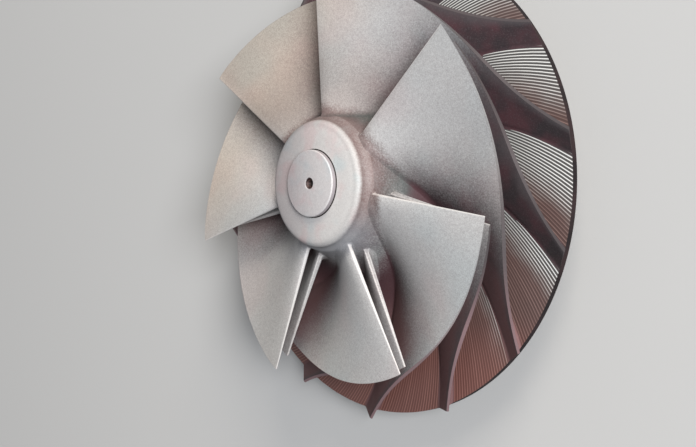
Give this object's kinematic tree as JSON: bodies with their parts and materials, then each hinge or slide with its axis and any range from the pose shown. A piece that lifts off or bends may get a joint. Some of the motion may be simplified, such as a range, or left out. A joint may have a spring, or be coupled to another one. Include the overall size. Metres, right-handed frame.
{
  "type": "compressor impeller",
  "caption": "Semi-open compressor impeller with long and splitter blades on a flaring hub, a rounded nose, a rear boss and its shaft end.",
  "frame": {"origin": "centre of the rear boss's flat face, which the wheel rests on", "axes": "+Z along the shaft axis towards the inlet, so seen from the inlet the blades wrap clockwise from inlet to rim"},
  "size_m": [0.4138, 0.4036, 0.1186],
  "materials": {
    "dusted_steel": "fine-milled stainless steel under a matte grey-white dust with faint pink and blue-green tints",
    "stained_steel": "stainless steel with a pink-brown stain",
    "milled_steel": "bright stainless steel with rows of cusps left by a ball-nosed cutter",
    "turned_steel": "lathe-turned stainless steel",
    "shaft_steel": "turned steel under a light grey dust, with a dark centre hole"
  },
  "bodies": {
    "root": {"shaft_end": "shaft_steel", "hub_nose": "dusted_steel", "inducer_hub": "stained_steel", "exducer_hub": "milled_steel", "back_disc": "milled_steel", "rear_boss": "turned_steel", "full_blade_1": "dusted_steel", "splitter_blade_1": "dusted_steel", "full_blade_2": "dusted_steel", "splitter_blade_2": "dusted_steel", "full_blade_3": "dusted_steel", "splitter_blade_3": "dusted_steel", "full_blade_4": "dusted_steel", "splitter_blade_4": "dusted_steel", "full_blade_5": "dusted_steel", "splitter_blade_5": "dusted_steel", "full_blade_6": "dusted_steel", "splitter_blade_6": "dusted_steel", "full_blade_7": "dusted_steel", "splitter_blade_7": "dusted_steel"}
  },
  "joints": []
}
